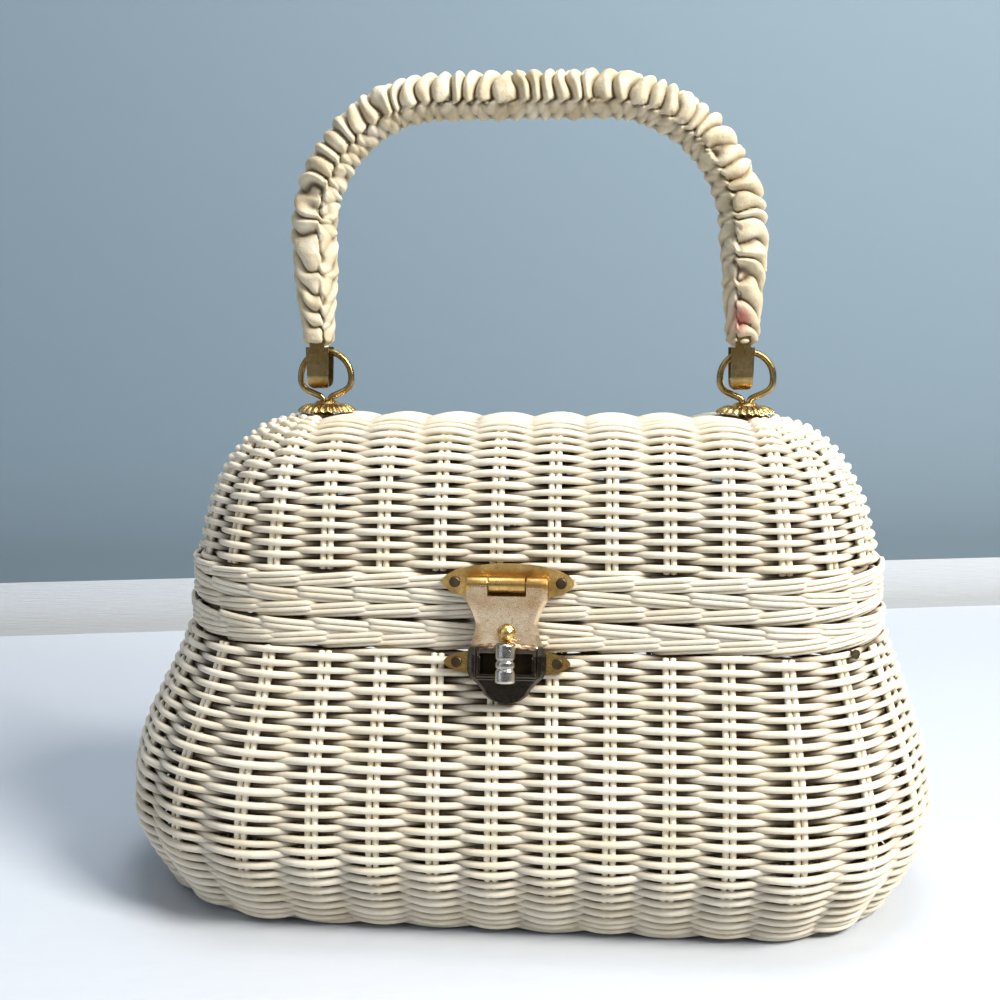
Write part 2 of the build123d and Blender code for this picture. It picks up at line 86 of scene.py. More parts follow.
def unit(vectors: np.ndarray) -> np.ndarray:
    """Scale each row to length 1."""
    return vectors / np.maximum(np.linalg.norm(vectors, axis=-1, keepdims=True), 1e-9)


@dataclass
class MeshPot:
    """Collects quads in millimetres, with marks for painted shade, painted reflection, tone and stains, and
    turns them into one object.
    """

    name: str
    points: list[np.ndarray] = field(default_factory=list)
    quads: list[np.ndarray] = field(default_factory=list)
    marks: dict[str, list[np.ndarray]] = field(default_factory=dict)
    count: int = 0

    def add(self, points: np.ndarray, quads: np.ndarray, **marks: np.ndarray) -> None:
        """Add a patch of mesh.

        Args:
            points: Corner positions, in millimetres.
            quads: Corner numbers of each face, counted within this patch.
            **marks: One number for each corner, by mark name.
        """
        self.points.append(points)
        self.quads.append(quads + self.count)
        for key, values in marks.items():
            self.marks.setdefault(key, []).append(np.broadcast_to(values, len(points)))
        self.count += len(points)

    def make(self, body: str, finish: "Finish", *nodes: str) -> bpy.types.Object:
        """Make the object, ride it on a body and let it stand for CAD nodes.

        Args:
            body: The CAD body that it moves with.
            finish: Its finish, which also names the record's material slot.
            *nodes: The CAD nodes that it replaces.

        Returns:
            The new object.
        """
        mesh = bpy.data.meshes.new(self.name)
        quads = np.concatenate(self.quads)
        mesh.from_pydata((np.concatenate(self.points) * MM).tolist(), [], quads.tolist())
        for key, values in self.marks.items():
            mark = mesh.attributes.new(key, "FLOAT", "POINT")
            mark.data.foreach_set("value", np.concatenate(values).astype(np.float32))
        mesh.polygons.foreach_set("use_smooth", np.ones(len(quads), bool))
        mesh.update()
        made = bpy.data.objects.new(self.name, mesh)
        bpy.context.scene.collection.objects.link(made)
        made.data.materials.append(finish.material())
        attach(made, body)
        if nodes:
            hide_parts(*nodes)
        log.info("%s: %d faces", self.name, len(quads))
        return made


def grid_quads(rows: int, columns: int, wrap_rows: bool, wrap_columns: bool) -> np.ndarray:
    """Number the quads of a grid of corners.

    Args:
        rows: Corners along the first direction.
        columns: Corners along the second direction.
        wrap_rows: Whether the last row joins the first.
        wrap_columns: Whether the last column joins the first.

    Returns:
        Four corner numbers for each quad.
    """
    i = np.arange(rows if wrap_rows else rows - 1)
    j = np.arange(columns if wrap_columns else columns - 1)
    a, b = np.meshgrid(i, j, indexing="ij")
    a2, b2 = (a + 1) % rows, (b + 1) % columns
    corners = [a * columns + b, a2 * columns + b, a2 * columns + b2, a * columns + b2]
    return np.stack(corners, -1).reshape(-1, 4)


def rod(
    pot: MeshPot, path: np.ndarray, out: np.ndarray, radius: np.ndarray | float, closed: bool,
    sides: int = 7, **marks: np.ndarray,
) -> None:
    """Add a round rod along a path.

    Args:
        pot: Where the mesh goes.
        path: Points of the middle line.
        out: Direction out of the woven surface at each point.
        radius: Radius of the rod, alone or at each point.
        closed: Whether the path joins its own start.
        sides: Faces round the rod.
        **marks: One number for each point of the path, by mark name.
    """
    size = np.broadcast_to(np.asarray(radius, float), len(path))
    if not closed:
        step = unit(path[[0, -1]] - path[[1, -2]]) * 0.25 * size[[0, -1], None]
        path = np.concatenate([path[:1] + step[:1], path, path[-1:] + step[1:]])
        out = np.concatenate([out[:1], out, out[-1:]])
        size = np.concatenate([[0.02], size, [0.02]])
        marks = {key: np.pad(np.broadcast_to(v, len(path) - 2), 1, mode="edge") for key, v in marks.items()}
    along = np.roll(path, -1, 0) - np.roll(path, 1, 0) if closed else np.gradient(path, axis=0)
    side = unit(np.cross(unit(along), out))
    up = np.cross(side, unit(along))
    turn = np.linspace(0, 2 * np.pi, sides, endpoint=False)
    ring = np.cos(turn)[None, :, None] * up[:, None] + np.sin(turn)[None, :, None] * side[:, None]
    points = (path[:, None] + size[:, None, None] * ring).reshape(-1, 3)
    full = {key: np.repeat(np.broadcast_to(v, len(path)), sides) for key, v in marks.items()}
    pot.add(points, grid_quads(len(path), sides, closed, True), **full)


def lathe(
    pot: MeshPot, profile: Sequence[tuple[float, float]], origin: np.ndarray, axis: np.ndarray,
    sides: int = 48, **marks: float,
) -> None:
    """Add a turned shape.

    Args:
        pot: Where the mesh goes.
        profile: Radius and height of each step along the axis.
        origin: Where height 0 lies.
        axis: Direction of growing height.
        sides: Faces round the shape.
        **marks: One number for the whole shape, by mark name.
    """
    axis = unit(np.asarray(axis, float))
    helper = np.array([0.0, 0.0, 1.0]) if abs(axis[2]) < 0.9 else np.array([1.0, 0.0, 0.0])
    first = unit(np.cross(axis, helper))
    second = np.cross(axis, first)
    turn = np.linspace(0, 2 * np.pi, sides, endpoint=False)
    shape = np.asarray(profile, float)
    ring = np.cos(turn)[:, None] * first + np.sin(turn)[:, None] * second
    points = np.asarray(origin, float) + shape[:, None, :1] * ring[None] + shape[:, None, 1:] * axis
    pot.add(points.reshape(-1, 3), grid_quads(len(shape), sides, False, True)[:, ::-1], **marks)


def rounded(radius: float, low: float, high: float, edge: float, steps: int = 4) -> list[tuple[float, float]]:
    """Profile of a closed cylinder with rounded ends, from low to high.

    Args:
        radius: Radius of the cylinder.
        low: Height of its lower end.
        high: Height of its upper end.
        edge: Radius of its rounded edges.
        steps: Points round each edge.

    Returns:
        Radius and height of each step.
    """
    bend = np.linspace(0, np.pi / 2, steps)
    lower = [(radius - edge + edge * math.sin(a), low + edge - edge * math.cos(a)) for a in bend]
    upper = [(radius - edge + edge * math.cos(a), high - edge + edge * math.sin(a)) for a in bend]
    return [(0.01, low), *lower, *upper, (0.01, high)]


# Sizes shared with the CAD -----------------------------------------------------------------

HALF_RUN = 73.0
FLOOR_RADIUS = 53.5
BELLY_RADIUS = 67.0
BELLY_HEIGHT = 31.0
MOUTH_RADIUS = 47.4
SEAM = 101.5
FOOT_SLOPE = 0.45
NECK_SLOPE = 0.24
WALL_TOP = 93.1
LID_RISE = 63.5
LID_RADIUS = 47.4
LID_FULLNESS = 1.72
LID_SQUARENESS = 3.1
CROWN_BASE = 116.5
LID_TOP = 165.0
CLASP_X = -5.0
LEAN = math.radians(14)
CATCH_Z = 90.7
HASP_FRONT = -54.3
BEND_Z = 92.9
PIN = np.array([CLASP_X, -51.8, 114.9])
SHIELD = np.array([CLASP_X, -54.849, CATCH_Z])
SHIELD_OUT = np.array([0.0, -math.cos(LEAN), math.sin(LEAN)])
SHIELD_UP = np.array([0.0, math.sin(LEAN), math.cos(LEAN)])
SLEEVE_END = 187.5
HANDLE_TOP = 271.0
HANDLE_X = -2.0
HANDLE_HALF = 73.0
HANDLE_CORNER = 46.0
STAKES = 32


# Finishes ----------------------------------------------------------------------------------


def node(tree: bpy.types.NodeTree, kind: str, **values: object) -> bpy.types.Node:
    """Add a shader node.

    Args:
        tree: The material's tree.
        kind: Node type without the ShaderNode prefix.
        **values: Node settings, or socket values and links by socket name with _ for spaces.

    Returns:
        The new node.
    """
    made = tree.nodes.new("ShaderNode" + kind)
    for key, value in values.items():
        if hasattr(made, key) and not key[0].isupper():
            setattr(made, key, value)
            continue
        name = key.replace("_", " ")
        sockets = [s for s in made.inputs if s.name == name and s.enabled]
        socket = made.inputs[int(key[1:])] if key[0] == "I" and key[1:].isdigit() else sockets[0]
        if isinstance(value, bpy.types.NodeSocket):
            tree.links.new(value, socket)
        else:
            socket.default_value = value
    return made


def ramp(
    tree: bpy.types.NodeTree, fac: bpy.types.NodeSocket, *stops: tuple[float, str],
) -> bpy.types.NodeSocket:
    """Map a number to colours.

    Args:
        tree: The material's tree.
        fac: The number.
        *stops: Position and hex colour of each stop.

    Returns:
        The colour socket.
    """
    made = node(tree, "ValToRGB", Fac=fac)
    band = made.color_ramp
    while len(band.elements) < len(stops):
        band.elements.new(1.0)
    for element, (place, colour) in zip(band.elements, stops):
        element.position = place
        element.color = linear(colour)
    return made.outputs["Color"]


def mix(
    tree: bpy.types.NodeTree, fac: object, first: object, second: object, kind: str = "MIX",
) -> bpy.types.NodeSocket:
    """Blend two colours.

    Args:
        tree: The material's tree.
        fac: Share of the second colour, a number or a socket.
        first: Hex colour or socket.
        second: Hex colour or socket.
        kind: Blend type.

    Returns:
        The blended colour socket.
    """
    made = node(tree, "Mix", data_type="RGBA", blend_type=kind)
    for index, value in ((0, fac), (6, first), (7, second)):
        if isinstance(value, bpy.types.NodeSocket):
            tree.links.new(value, made.inputs[index])
        else:
            made.inputs[index].default_value = linear(value) if isinstance(value, str) else value
    return made.outputs[2]


def math_node(tree: bpy.types.NodeTree, operation: str, *values: object) -> bpy.types.NodeSocket:
    """Do one sum on numbers or sockets and return its socket."""
    made = node(tree, "Math", operation=operation)
    for socket, value in zip(made.inputs, values):
        if isinstance(value, bpy.types.NodeSocket):
            tree.links.new(value, socket)
        else:
            socket.default_value = value
    return made.outputs[0]


def noise(
    tree: bpy.types.NodeTree, size_mm: float, detail: float = 3.0,
    stretch: tuple[float, float, float] = (1, 1, 1),
) -> bpy.types.NodeSocket:
    """Noise in object space.

    Args:
        tree: The material's tree.
        size_mm: Size of its largest blotches.
        detail: Octaves.
        stretch: How much finer it is along each axis.

    Returns:
        A number socket around 0.5.
    """
    place = node(tree, "TexCoord").outputs["Object"]
    mapped = node(tree, "Mapping", Vector=place, Scale=stretch).outputs[0]
    return node(tree, "TexNoise", Vector=mapped, Scale=1 / (size_mm * MM), Detail=detail).outputs[0]


def mark(tree: bpy.types.NodeTree, name: str) -> bpy.types.NodeSocket:
    """Number carried by the mesh's corners."""
    return node(tree, "Attribute", attribute_name=name).outputs["Fac"]


@dataclass(frozen=True)
class Finish:
    """A named finish and the function that builds its shader, one material for each finish."""

    slot: str
    build: Callable[[bpy.types.NodeTree, bpy.types.Node], None]

    def material(self) -> bpy.types.Material:
        """Make the material, or return the one made before."""
        name = self.build.__name__
        if name in bpy.data.materials:
            return bpy.data.materials[name]
        made = bpy.data.materials.new(name)
        made.use_nodes = True
        tree = made.node_tree
        self.build(tree, tree.nodes["Principled BSDF"])
        return made


def set_shader(tree: bpy.types.NodeTree, shader: bpy.types.Node, **values: object) -> None:
    """Set or link the shader's sockets.

    Args:
        tree: The material's tree.
        shader: Its Principled BSDF.
        **values: Numbers, hex colours or sockets by socket name with _ for spaces.
    """
    for key, value in values.items():
        socket = shader.inputs[key.replace("_", " ")]
        if isinstance(value, bpy.types.NodeSocket):
            tree.links.new(value, socket)
        else:
            socket.default_value = linear(value) if isinstance(value, str) else value


def bump(tree: bpy.types.NodeTree, height: bpy.types.NodeSocket, depth_mm: float) -> bpy.types.NodeSocket:
    """Turn a height from 0 to 1 into a normal."""
    return node(tree, "Bump", Height=height, Distance=depth_mm * MM, Strength=1.0).outputs[0]


def inner_side_shade(tree: bpy.types.NodeTree, full_shade: float, painted: float) -> bpy.types.NodeSocket:
    """Painted shade for the side of a reed that faces into the bag, read from a face_out mark that no mesh
    made here carries, so it gives the same value everywhere.

    Args:
        tree: The material's tree.
        full_shade: Where the painted shade is full, from 0 inside to 1 outside.
        painted: Where the shade ends and the reed keeps its cream paint.

    Returns:
        The colour socket.
    """
    facing = math_node(tree, "MULTIPLY_ADD", mark(tree, "face_out"), 0.5, 0.5)
    return ramp(tree, facing, (full_shade, "#FFFFFF"), (painted, "#000000"))


def painted_reed_paint(tree: bpy.types.NodeTree, shader: bpy.types.Node) -> None:
    """Round reed under aged cream paint, with painted shade from tan to dark brown where each reed dives and
    in the gaps, mixed with blotchy soiling.
    """
    depth = mark(tree, "depth")
    tone = mark(tree, "tone")
    patch = noise(tree, 14, 4)
    speck = noise(tree, 1.1, 3)
    paint = ramp(tree, patch, (0.30, "#E3D9C2"), (0.50, "#EFE8D8"), (0.72, "#F6F1E6"))
    shade = ramp(tree, tone, (0.0, "#D9CBAC"), (0.5, "#F0E9DA"), (1.0, "#FBF7EE"))
    paint = mix(tree, 0.55, paint, shade, "MULTIPLY")
    paint = mix(tree, 0.30, paint, "#F5EFE2")
    # Painted shade: the depth mark darkens each reed where it dives and in the gaps; the noise adds blotchy
    # soiling.
    dirt_and_depth_shade = math_node(tree, "ADD", depth, math_node(tree, "MULTIPLY_ADD", patch, 0.9, -0.45))
    grime_and_shade_mask = ramp(tree, dirt_and_depth_shade, (0.18, "#000000"), (0.50, "#808080"), (0.90, "#F2F2F2"))
    colour = mix(tree, grime_and_shade_mask, paint, "#564730")
    rub = ramp(tree, speck, (0.60, "#000000"), (0.74, "#5A5A5A"))
    colour = mix(tree, rub, colour, "#A8946E")
    # Dark brown painted shade, meant for the side of the reed that faces into the bag; it comes out as one
    # even tint.
    colour = mix(tree, inner_side_shade(tree, 0.16, 0.56), colour, "#3E3221")
    grain = noise(tree, 2.2, 4)
    set_shader(tree, shader, Base_Color=colour, Roughness=0.48, Normal=bump(tree, grain, 0.16))


def stake_paint(tree: bpy.types.NodeTree, shader: bpy.types.Node) -> None:
    """Upright stakes, deeper in the weave, in a slightly darker cream than the weavers' paint."""
    patch = noise(tree, 5, 4)
    colour = ramp(tree, patch, (0.3, "#D6CAB0"), (0.5, "#EAE2D0"), (0.75, "#F4EFE4"))
    # Dark brown painted shade, meant for the side of the stake that faces into the bag; with these stops it
    # adds nothing.
    colour = mix(tree, inner_side_shade(tree, 0.10, 0.46), colour, "#4A3C28")
    set_shader(tree, shader, Base_Color=colour, Roughness=0.6, Normal=bump(tree, noise(tree, 1.5, 3), 0.15))


def metal(
    tree: bpy.types.NodeTree, shader: bpy.types.Node, clean: str, worn: str, dull: str,
    low: float, high: float,
) -> None:
    """Metal with patina, fine scratches and uneven polish.

    Args:
        tree: The material's tree.
        shader: Its Principled BSDF.
        clean: Colour of the bright metal.
        worn: Colour of the toned metal.
        dull: Colour of the dark spots.
        low: Roughness where it is polished.
        high: Roughness where it is dull.
    """
    patch = noise(tree, 7, 5)
    spot = noise(tree, 1.3, 4)
    colour = mix(tree, ramp(tree, patch, (0.38, "#000000"), (0.66, "#FFFFFF")), clean, worn)
    colour = mix(tree, ramp(tree, spot, (0.58, "#000000"), (0.72, "#999999")), colour, dull)
    scratch = noise(tree, 0.5, 2, (1.0, 1.0, 9.0))
    rough = node(tree, "MapRange", Value=patch, I1=0.35, I2=0.7, I3=low, I4=high).outputs[0]
    both = math_node(tree, "ADD", scratch, math_node(tree, "MULTIPLY", spot, 0.7))
    set_shader(tree, shader, Base_Color=colour, Metallic=1.0, Roughness=rough, Normal=bump(tree, both, 0.035))


def aged_brass(tree: bpy.types.NodeTree, shader: bpy.types.Node) -> None:
    """Brass of the hasp, plates and hinges, toned brown where it isn't handled."""
    metal(tree, shader, "#D9B777", "#B08D55", "#6B5230", 0.22, 0.42)


def bright_brass(tree: bpy.types.NodeTree, shader: bpy.types.Node) -> None:
    """Bright brass of the rosettes and the stud."""
    metal(tree, shader, "#E6C98C", "#C6A264", "#7D6238", 0.16, 0.30)


def worn_nickel(tree: bpy.types.NodeTree, shader: bpy.types.Node) -> None:
    """Brass-toned metal of the rings, straps and washers."""
    metal(tree, shader, "#B9A478", "#8E7748", "#4E4028", 0.16, 0.34)


def worn_chrome(tree: bpy.types.NodeTree, shader: bpy.types.Node) -> None:
    """Grey plated metal of the turn barrel and its post."""
    metal(tree, shader, "#D2CFC9", "#9C978E", "#4B463F", 0.10, 0.24)


def hasp_metal(tree: bpy.types.NodeTree, shader: bpy.types.Node) -> None:
    """Pale brass of the hasp, with the shield drawn dark grey as a painted reflection."""
    metal(tree, shader, "#E6D0B2", "#CFB08A", "#8A6D45", 0.12, 0.22)
    brass = shader.inputs["Base Color"].links[0].from_socket
    # Painted reflection: the dark mark turns the shield dark grey.
    set_shader(tree, shader, Base_Color=mix(tree, mark(tree, "dark"), brass, "#4E4A46"))


def catch_metal(tree: bpy.types.NodeTree, shader: bpy.types.Node) -> None:
    """Brass of the catch, drawn almost black as painted shade where the hasp covers it."""
    metal(tree, shader, "#D9B777", "#B08D55", "#6B5230", 0.2, 0.4)
    brass = shader.inputs["Base Color"].links[0].from_socket
    across = node(tree, "SeparateXYZ", Vector=node(tree, "TexCoord").outputs["Object"]).outputs[0]
    # Painted shade: almost black within 9 mm of the clasp's middle, fading out by 11 mm.
    away = math_node(tree, "ABSOLUTE", math_node(tree, "SUBTRACT", across, CLASP_X * MM))
    under_hasp_shade = node(tree, "MapRange", Value=away, I1=0.009, I2=0.011, I3=0.95, I4=0.0).outputs[0]
    set_shader(tree, shader, Base_Color=mix(tree, under_hasp_shade, brass, "#2B2622"))


def rivet_steel(tree: bpy.types.NodeTree, shader: bpy.types.Node) -> None:
    """Rivets and the nail, drawn dark as painted shade of the recessed holes they sit in."""
    metal(tree, shader, "#6E6250", "#4A3F30", "#2E261C", 0.35, 0.55)


def ruched_leather(tree: bpy.types.NodeTree, shader: bpy.types.Node) -> None:
    """Gathered cream leather, with painted shade and blotchy soiling darkening its creases, and a pink stain
    on one leg.
    """
    crease = mark(tree, "depth")
    patch = noise(tree, 9, 4)
    colour = ramp(tree, patch, (0.32, "#B9AA8C"), (0.52, "#CFC3A9"), (0.72, "#E0D8C4"))
    # Painted shade: the crease mark darkens the folds; the noise adds blotchy soiling.
    dirt_and_crease_shade = math_node(tree, "ADD", crease, math_node(tree, "MULTIPLY_ADD", patch, 0.5, -0.25))
    soil_and_crease_shade = ramp(tree, dirt_and_crease_shade, (0.30, "#000000"), (0.62, "#8A8A8A"), (1.0, "#F0F0F0"))
    colour = mix(tree, soil_and_crease_shade, colour, "#6B5A40")
    colour = mix(tree, mark(tree, "stain"), colour, "#B4514E")
    place = node(tree, "TexCoord").outputs["Object"]
    pores = node(tree, "TexVoronoi", Vector=place, Scale=1 / (0.7 * MM)).outputs[0]
    fine = math_node(tree, "ADD", math_node(tree, "MULTIPLY", pores, 0.35), noise(tree, 1.8, 5))
    set_shader(tree, shader, Base_Color=colour, Roughness=0.52, Normal=bump(tree, fine, 0.22))


PAINTED_REED = Finish("painted_reed", painted_reed_paint)
BORDER_REED = Finish("border_reed", painted_reed_paint)
STAKE = Finish("painted_reed", stake_paint)
BRASS = Finish("brass", aged_brass)
BRIGHT = Finish("polished_brass", bright_brass)
CHROME = Finish("nickel", worn_chrome)
HASP = Finish("brass", hasp_metal)
CATCH = Finish("brass", catch_metal)
NICKEL = Finish("nickel", worn_nickel)
RIVET = Finish("dark_rivet", rivet_steel)
LEATHER = Finish("cream_leather", ruched_leather)


# Woven shells ------------------------------------------------------------------------------


def ring_point(t: np.ndarray, radius: np.ndarray | float) -> tuple[np.ndarray, np.ndarray]:
    """Place points on a stadium ring, t running from the front's left end, 8 to each side.

    Args:
        t: Place along the ring, in stake intervals.
        radius: Distance from the middle line of the stadium.

    Returns:
        Points at height 0 and the outward directions.
    """
    t = np.mod(t, 32.0)
    side = np.floor(t / 8).astype(int)
    part = t / 8 - side
    angle = np.select([side == 0, side == 1, side == 2], [
        np.full_like(t, -np.pi / 2), -np.pi / 2 + np.pi * part, np.full_like(t, np.pi / 2),
    ], np.pi / 2 + np.pi * part)
    middle = np.select([side == 0, side == 1, side == 2], [
        HALF_RUN * (2 * part - 1), np.full_like(t, HALF_RUN), HALF_RUN * (1 - 2 * part),
    ], -HALF_RUN)
    out = np.stack([np.cos(angle), np.sin(angle), np.zeros_like(t)], -1)
    center = np.stack([middle, np.zeros_like(t), np.zeros_like(t)], -1)
    return center + out * np.asarray(radius)[..., None], out


def blend(t: float, end_slope: float) -> float:
    """Rise from 0 to 1 that starts level and ends with the given slope."""
    return t * t * (3 - 2 * t) + end_slope * t * t * (t - 1)


def basket_radius(z: float) -> float:
    """Outer radius of the basket's wall at a height."""
    if z < BELLY_HEIGHT:
        drop = BELLY_RADIUS - FLOOR_RADIUS
        return BELLY_RADIUS - drop * blend(1 - z / BELLY_HEIGHT, FOOT_SLOPE * BELLY_HEIGHT / drop)
    drop, span = BELLY_RADIUS - MOUTH_RADIUS, SEAM - BELLY_HEIGHT
    return BELLY_RADIUS - drop * blend((z - BELLY_HEIGHT) / span, NECK_SLOPE * span / drop)


def lid_radius(z: float) -> float:
    """Outer radius of the lid's crown at a height."""
    s = min(max((z - SEAM) / LID_RISE, 0.0), 1.0)
    return LID_RADIUS * (1 - s ** LID_FULLNESS) ** (1 / LID_SQUARENESS)


def sag(points: np.ndarray) -> np.ndarray:
    """How far the basket's left end bulges past the CAD at points on its wall."""
    return 4.6 * smoothstep(-20, -125, points[:, 0]) * smoothstep(90, 45, points[:, 2])


@dataclass
class Profile:
    """Outer outline of a shell as radius and height, walked by its length."""

    outline: np.ndarray

    def __post_init__(self) -> None:
        """Measure the outline."""
        steps = np.linalg.norm(np.diff(self.outline, axis=0), axis=1)
        self.at = np.concatenate([[0.0], np.cumsum(steps)])
        self.length = float(self.at[-1])
        along = unit(np.gradient(self.outline, axis=0))
        self.normal = np.stack([along[:, 1], -along[:, 0]], 1)

    def sample(self, place: np.ndarray) -> tuple[np.ndarray, np.ndarray]:
        """Points and outward normals at distances along the outline."""
        place = np.clip(place, 0, self.length)
        point = np.stack([np.interp(place, self.at, self.outline[:, k]) for k in (0, 1)], -1)
        normal = np.stack([np.interp(place, self.at, self.normal[:, k]) for k in (0, 1)], -1)
        return point, unit(normal)


@dataclass
class Weave:
    """Plain weave of round reed over pairs of stakes on a shell."""

    name: str
    profile: Profile
    body: str
    nodes: tuple[str, ...]
    rows: np.ndarray  # distance of each row along the profile
    seed: int
    reed: float = 1.21
    inset: float = 3.0  # outer face in to the middle of the weave
    swing: float = 1.8  # how far a row swings out and in from that middle
    per_interval: int = 7

    def height(self, t: np.ndarray, row: int) -> np.ndarray:
        """How far a row stands outside (1) or inside (-1) at each place."""
        wave = np.cos(np.pi * (t - 0.5)) * (1 if row % 2 else -1)
        return np.tanh(0.5 * wave) / math.tanh(0.5)

    def make(self) -> None:
        """Weave the rows, then set the stakes."""
        rng = np.random.default_rng(self.seed)
        pot = MeshPot(self.name)
        t = np.arange(STAKES * self.per_interval) / self.per_interval
        for row, place in enumerate(self.rows):
            lift = self.height(t, row)
            wobble = np.interp(t, np.arange(33), np.append(w := rng.normal(0, 1, 32), w[0]))
            size = self.reed * (1 + 0.06 * rng.normal()) * (1 + 0.05 * wobble)
            here = place + 0.16 * wobble + 0.14 * rng.normal()
            flat, out2 = self.profile.sample(here)
            room = min(1.0, flat[0, 0] / 14)
            reach = self.swing * lift * (0.55 + 0.45 * room) * (1 + 0.05 * wobble)
            radius = flat[:, 0] + out2[:, 0] * (reach - self.inset)
            z = flat[:, 1] + out2[:, 1] * (reach - self.inset)
            point, out = ring_point(t, np.maximum(radius, 0.8))
            point[:, 2] = z
            if self.name == "basket_weave":
                point[:, 0] -= sag(point)
            normal = out * out2[:, :1] + np.array([0, 0, 1.0]) * out2[:, 1:]
            # depth: painted shade, darkest where the row dips inside the stakes.
            depth = 0.5 - 0.5 * lift
            tone = np.clip(0.5 + 0.16 * wobble + 0.22 * rng.normal(), 0, 1)
            rod(pot, point, normal, size, True, 7, depth=depth, tone=tone)
        pot.make(self.body, PAINTED_REED, *self.nodes)
        self.make_stakes()

    def make_stakes(self) -> None:
        """Set a pair of stakes at every half interval."""
        pot = MeshPot(self.name + "_stakes")
        place = np.linspace(self.rows[0], self.rows[-1], max(int((self.rows[-1] - self.rows[0]) / 2.2), 12))
        flat, out2 = self.profile.sample(place)
        sunk = self.inset - 0.45
        radius = flat[:, 0] - out2[:, 0] * sunk
        for stake in range(STAKES):
            keep = radius > (1.0 if stake % 16 < 8 else 8.0)
            for offset in (-1.15, 1.15):
                angle_room = np.where((stake % 16) < 8, 1.0, np.clip(radius / 18, 0.35, 1.0))
                point, out = ring_point(np.full_like(place, stake + 0.5), np.maximum(radius, 0.6))
                point[:, 2] = flat[:, 1] - out2[:, 1] * sunk
                if self.name == "basket_weave":
                    point[:, 0] -= sag(point)
                tangent = np.cross(np.array([0, 0, 1.0]), out)
                point = point + tangent * (offset * angle_room)[:, None]
                normal = out * out2[:, :1] + np.array([0, 0, 1.0]) * out2[:, 1:]
                if keep.sum() > 4:
                    rod(pot, point[keep], normal[keep], 1.1, False, 6, depth=0.6, tone=0.5)
        pot.make(self.body, STAKE)


@dataclass(frozen=True)
class Wale:
    """One plaited band of a border: three strands of paired reed, out over two stakes and in behind one."""

    z: float
    radius: float
    slope: int
    phase: float
    rise: float = 2.8
    reed: float = 0.93
    repeats: int = 11

    def add(self, pot: MeshPot, rng: np.random.Generator) -> None:
        """Add the band's strands to a mesh."""
        t = np.arange(STAKES * 11) / 11
        for strand in range(3):
            u = np.mod(t * self.repeats / STAKES + strand / 3 + self.phase, 1.0)
            u = u if self.slope > 0 else 1 - u
            front = u < 2 / 3
            s = np.where(front, u * 1.5, (u - 2 / 3) * 3)
            dive = np.where(front, 0.0, np.sin(np.pi * s) ** 0.7)
            under = np.where(front, 1 - s, s)
            inset = self.reed + 0.15 + 1.7 * under ** 1.3 + 3.0 * dive
            lift = np.where(front, s - 0.5, 0.5 - s) * self.rise
            wobble = np.interp(t, np.arange(33), np.append(w := rng.normal(0, 1, 32), w[0]))
            for pair in (-1, 1):
                point, out = ring_point(t, self.radius - inset + 0.06 * wobble)
                point[:, 2] = self.z + lift + pair * self.reed * 0.95 + 0.08 * wobble
                # depth: painted shade where a strand passes under and where it dives behind a stake.
                depth = np.clip(0.12 + 0.45 * under ** 2 + 0.9 * dive, 0, 1)
                tone = np.clip(0.55 + 0.15 * wobble + 0.12 * rng.normal(), 0, 1)
                rod(pot, point, out, self.reed, True, 7, depth=depth, tone=tone)


def make_border(
    name: str, body: str, cad: str, wales: Sequence[Wale], low: float, high: float, radius: float,
) -> None:
    """Make a border of stacked bands round a plain inner band.

    Args:
        name: Name of the object.
        body: The CAD body that it moves with.
        cad: The CAD node that it replaces.
        wales: Its bands.
        low: Height of its lower edge.
        high: Height of its upper edge.
        radius: Its outer radius.
    """
    rng = np.random.default_rng(len(name))
    pot = MeshPot(name)
    for wale in wales:
        wale.add(pot, rng)
    t = np.arange(STAKES * 8) / 8
    # Plain inner band behind the plait; its depth of 0.75 gives it painted shade.
    for z in np.arange(low + 0.8, high - 0.5, 1.6):
        point, out = ring_point(t, np.full_like(t, radius - 5.6))
        point[:, 2] = z
        rod(pot, point, out, 0.95, True, 7, depth=0.75, tone=0.4)
    pot.make(body, BORDER_REED, cad)


def make_shells() -> None:
    """Weave the basket, its base and the lid, and plait both borders."""
    levels = np.linspace(0, WALL_TOP, 90)
    body = Profile(np.array([(basket_radius(z), z) for z in levels]))
    dense = 2.4 + 1.2 * np.arange(4)
    open_rows = np.arange(dense[-1] + 1.6, body.length - 0.2, 2.05)
    Weave("basket_weave", body, "basket", ("basket_wall",), np.concatenate([dense, open_rows]), 3).make()
    rise = np.sin(np.linspace(math.asin((CROWN_BASE - SEAM) / LID_RISE * 0.999), math.pi / 2, 140))
    lid = Profile(np.array([(max(lid_radius(SEAM + LID_RISE * s), 0.5), SEAM + LID_RISE * s) for s in rise]))
    lid_rows = np.linspace(1.2, lid.length - 0.7, round(lid.length / 2.03))
    Weave("lid_weave", lid, "lid", ("lid_crown",), lid_rows, 7).make()
    floor = Profile(np.array([(r, -0.1) for r in np.linspace(2.5, 52.5, 60)]))
    floor_rows = np.arange(0.5, 49.5, 2.1)
    Weave("base_weave", floor, "basket", ("basket_base",), floor_rows, 11, inset=2.4, swing=1.05).make()
    make_border("lid_border_plait", "lid", "lid_border", [
        Wale(114.0, 48.0, 1, 0.0), Wale(109.2, 48.0, -1, 0.3), Wale(104.4, 48.0, 1, 0.6),
    ], 102.0, 116.5, 48.0)
    make_border("basket_border_plait", "basket", "basket_border", [
        Wale(99.0, 49.0, -1, 0.2), Wale(95.0, 49.0, 1, 0.5),
    ], 93.1, 101.4, 49.0)


# Handle ------------------------------------------------------------------------------------


